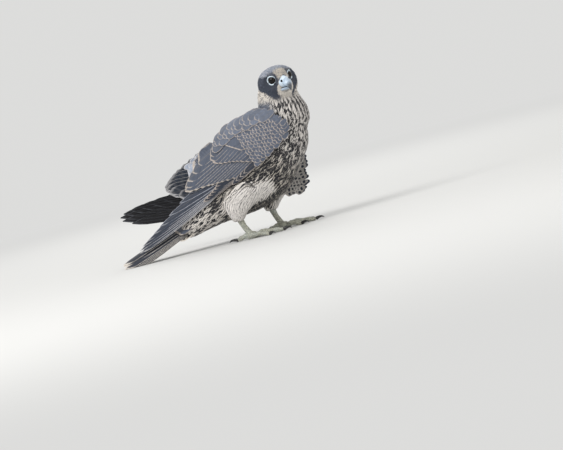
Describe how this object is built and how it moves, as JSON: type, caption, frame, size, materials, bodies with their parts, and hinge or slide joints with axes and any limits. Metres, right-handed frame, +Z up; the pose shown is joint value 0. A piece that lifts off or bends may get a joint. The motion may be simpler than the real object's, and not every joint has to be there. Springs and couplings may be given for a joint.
{
  "type": "peregrine falcon",
  "caption": "Still life-size young falcon standing on two feet with folded near wing, drooped far wing, long tail resting on the floor and head turned to its right.",
  "frame": {"origin": "centre of the outline's box, on the floor plane that the soles and the tail tip rest on", "axes": "+X towards the bird's front, +Y to the bird's left, +Z up"},
  "size_m": [0.3356, 0.1374, 0.2329],
  "materials": {
    "body_feather": "cream and buff breast feathers with dark streaks",
    "covert_feather": "slate blue-grey feathers with thin buff edges",
    "flight_feather": "dark slate flight and tail feathers with pale tips",
    "bill": "smooth horn, pale blue-grey with a darker tip",
    "cere": "soft pale bluish skin",
    "eye": "wet, nearly black eye",
    "leg_skin": "scaly greenish-grey skin",
    "claw": "smooth black horn"
  },
  "bodies": {
    "root": {"torso": "body_feather", "neck": "body_feather", "head": "covert_feather", "cere": "cere", "bill_upper": "bill", "bill_lower": "bill", "eye_right": "eye", "eye_left": "eye", "wing_right_coverts": "covert_feather", "wing_right_secondaries": "flight_feather", "wing_right_primaries": "flight_feather", "wing_left_coverts": "covert_feather", "wing_left_secondaries": "flight_feather", "wing_left_primaries": "flight_feather", "tail": "flight_feather", "thigh_right": "body_feather", "tarsus_right": "leg_skin", "foot_right": "leg_skin", "claw_right_inner": "claw", "claw_right_middle": "claw", "claw_right_outer": "claw", "claw_right_hind": "claw", "thigh_left": "body_feather", "tarsus_left": "leg_skin", "foot_left": "leg_skin", "claw_left_inner": "claw", "claw_left_middle": "claw", "claw_left_outer": "claw", "claw_left_hind": "claw"}
  },
  "joints": []
}
